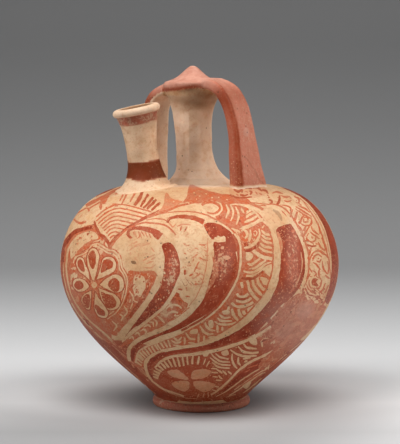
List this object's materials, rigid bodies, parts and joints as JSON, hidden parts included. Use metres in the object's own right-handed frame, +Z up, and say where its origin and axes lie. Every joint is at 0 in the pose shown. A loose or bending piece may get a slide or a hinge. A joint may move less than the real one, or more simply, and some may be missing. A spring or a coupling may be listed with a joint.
{
  "type": "stirrup jar",
  "caption": "Hollow fired-clay stirrup jar with a piriform body, a low foot, a leaning spout, and two strap handles joined to a knobbed disc on a closed false neck.",
  "frame": {"origin": "on the ground under the middle of the body, at the bottom centre of the jar's box", "axes": "+Z up, the spout at the front towards -Y, the handles to the right (+X) and to the left (-X) of the false neck"},
  "size_m": [0.2128, 0.2128, 0.26],
  "materials": {
    "fired_clay": "satin"
  },
  "bodies": {
    "root": {"stirrup_jar": "fired_clay"}
  },
  "joints": []
}
